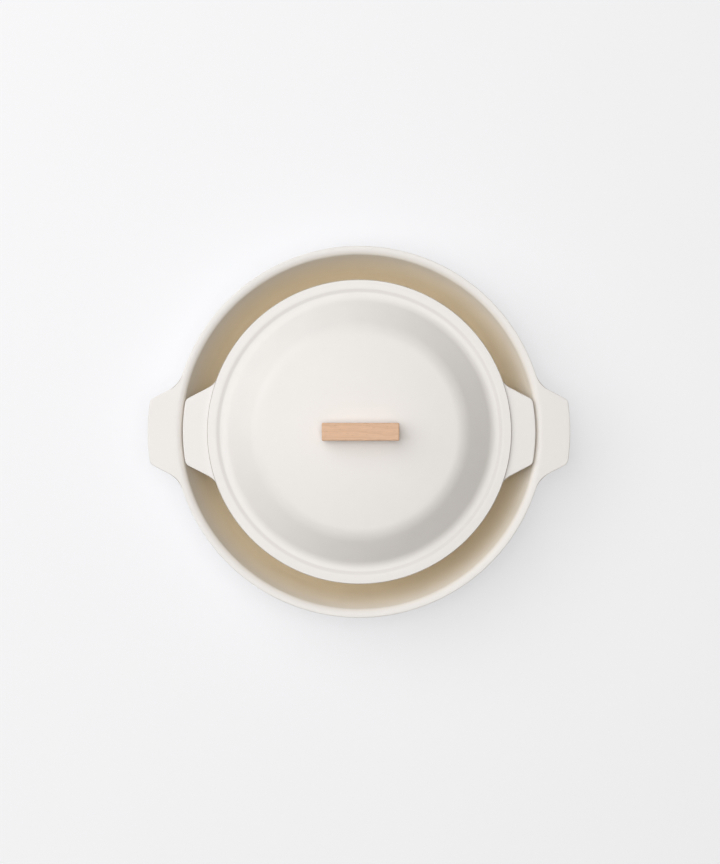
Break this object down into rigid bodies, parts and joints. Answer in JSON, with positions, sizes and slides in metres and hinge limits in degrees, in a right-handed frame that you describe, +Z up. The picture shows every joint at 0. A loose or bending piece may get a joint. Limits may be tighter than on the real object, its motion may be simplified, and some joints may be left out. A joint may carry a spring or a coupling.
{
  "type": "camping cook pot",
  "caption": "Wide camping pot with a smaller lidded pot nested inside it. Both have flat tab handles, and the lid has a wooden bar as its knob.",
  "frame": {"origin": "centre of the wide pot's base, on the surface that it stands on", "axes": "+X along the tabs, towards the right one in the picture; +Z up; +Y towards the top of the picture"},
  "size_m": [0.31, 0.2728, 0.0915],
  "materials": {
    "coating": "satin",
    "wood": "satin",
    "steel": "satin",
    "brass": "satin",
    "silicone": "matte"
  },
  "bodies": {
    "wide_pot": {"outer_pot": "coating"},
    "small_pot": {"inner_pot": "coating"},
    "lid": {"lid_shell": "coating", "knob_bar": "wood", "knob_base": "steel", "knob_screw_left": "steel", "knob_screw_right": "steel", "knob_washer_left": "steel", "knob_washer_right": "steel", "knob_seal_left": "silicone", "knob_seal_right": "silicone", "knob_insert_left": "brass", "knob_insert_right": "brass"}
  },
  "joints": [
    {"name": "small_pot_lift", "type": "slide", "parent": "wide_pot", "child": "small_pot", "axis": [0, 0, 1], "range_m": [0, 0.12]},
    {"name": "lid_lift", "type": "slide", "parent": "small_pot", "child": "lid", "axis": [0, 0, 1], "range_m": [0, 0.12]}
  ]
}
